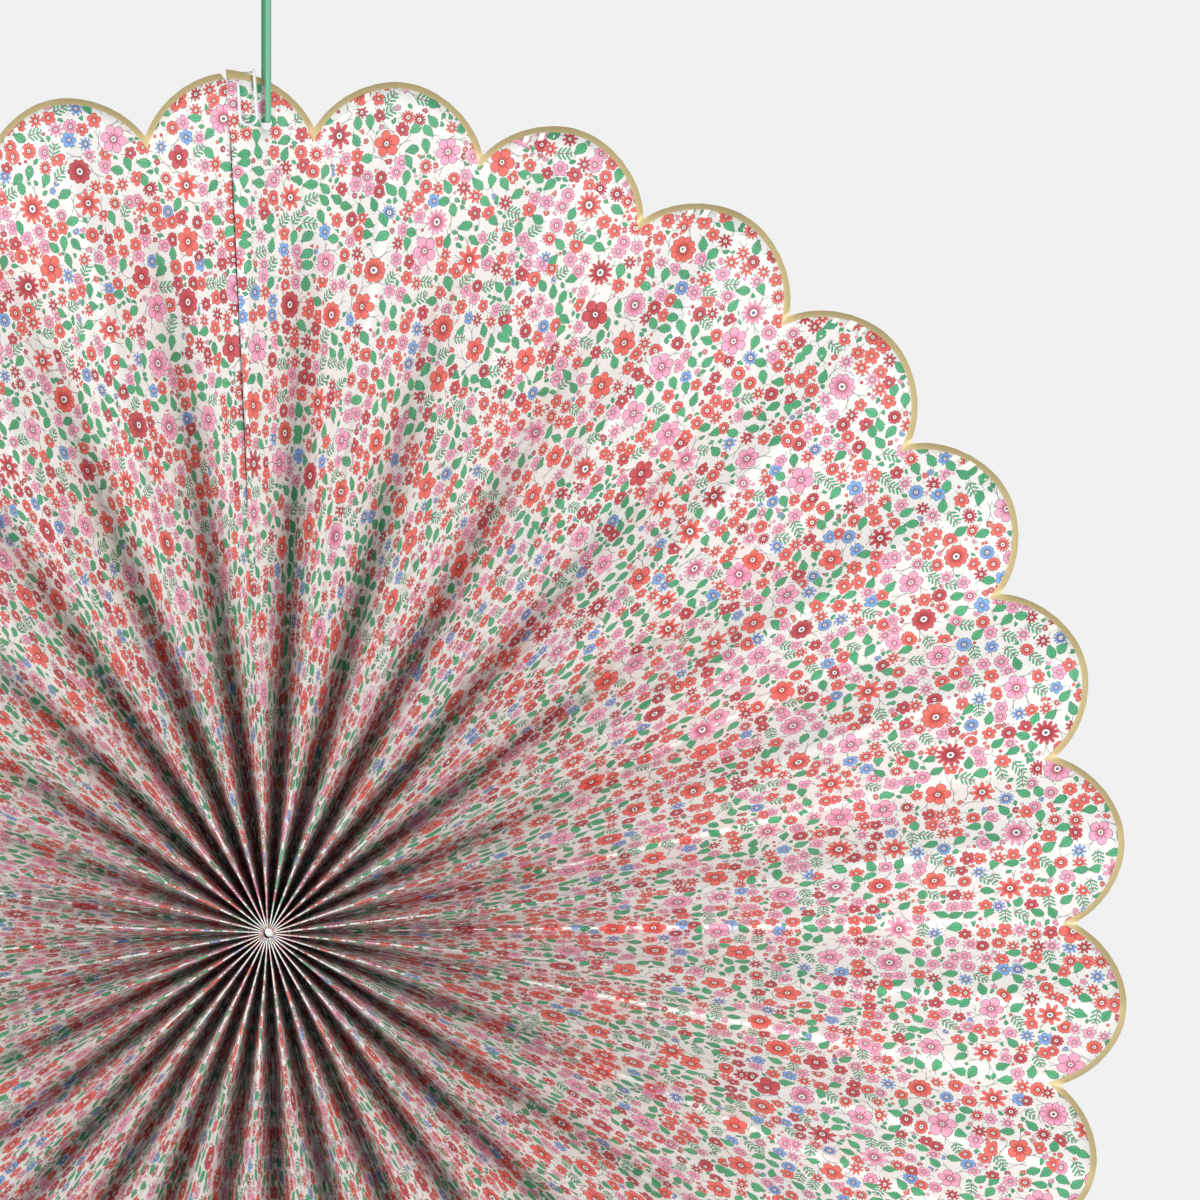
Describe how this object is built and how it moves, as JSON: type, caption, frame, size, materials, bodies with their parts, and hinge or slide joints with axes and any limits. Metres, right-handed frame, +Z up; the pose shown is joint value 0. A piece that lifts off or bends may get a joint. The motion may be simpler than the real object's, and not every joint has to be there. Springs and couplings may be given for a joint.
{
  "type": "paper fan rosette",
  "caption": "Round hanging paper fan rosette, folded from one scalloped, gold-edged strip with a small floral print, on a narrow satin ribbon.",
  "frame": {"origin": "centre of the small open hole at the hub, half-way through the fan's depth", "axes": "+Z up along the hanging ribbon, -Y out of the printed front, +X to the right as seen from the front"},
  "size_m": [0.5149, 0.0284, 0.5667],
  "materials": {
    "printed_paper": "satin coated, with a foil edge",
    "thread": "matte",
    "satin_ribbon": "satin",
    "clip_wire": "bright"
  },
  "bodies": {
    "root": {"pleated_fan": "printed_paper", "hub_thread": "thread", "ribbon_front_strand": "satin_ribbon", "ribbon_back_strand": "satin_ribbon", "ribbon_knot": "satin_ribbon", "paper_clip": "clip_wire"}
  },
  "joints": []
}
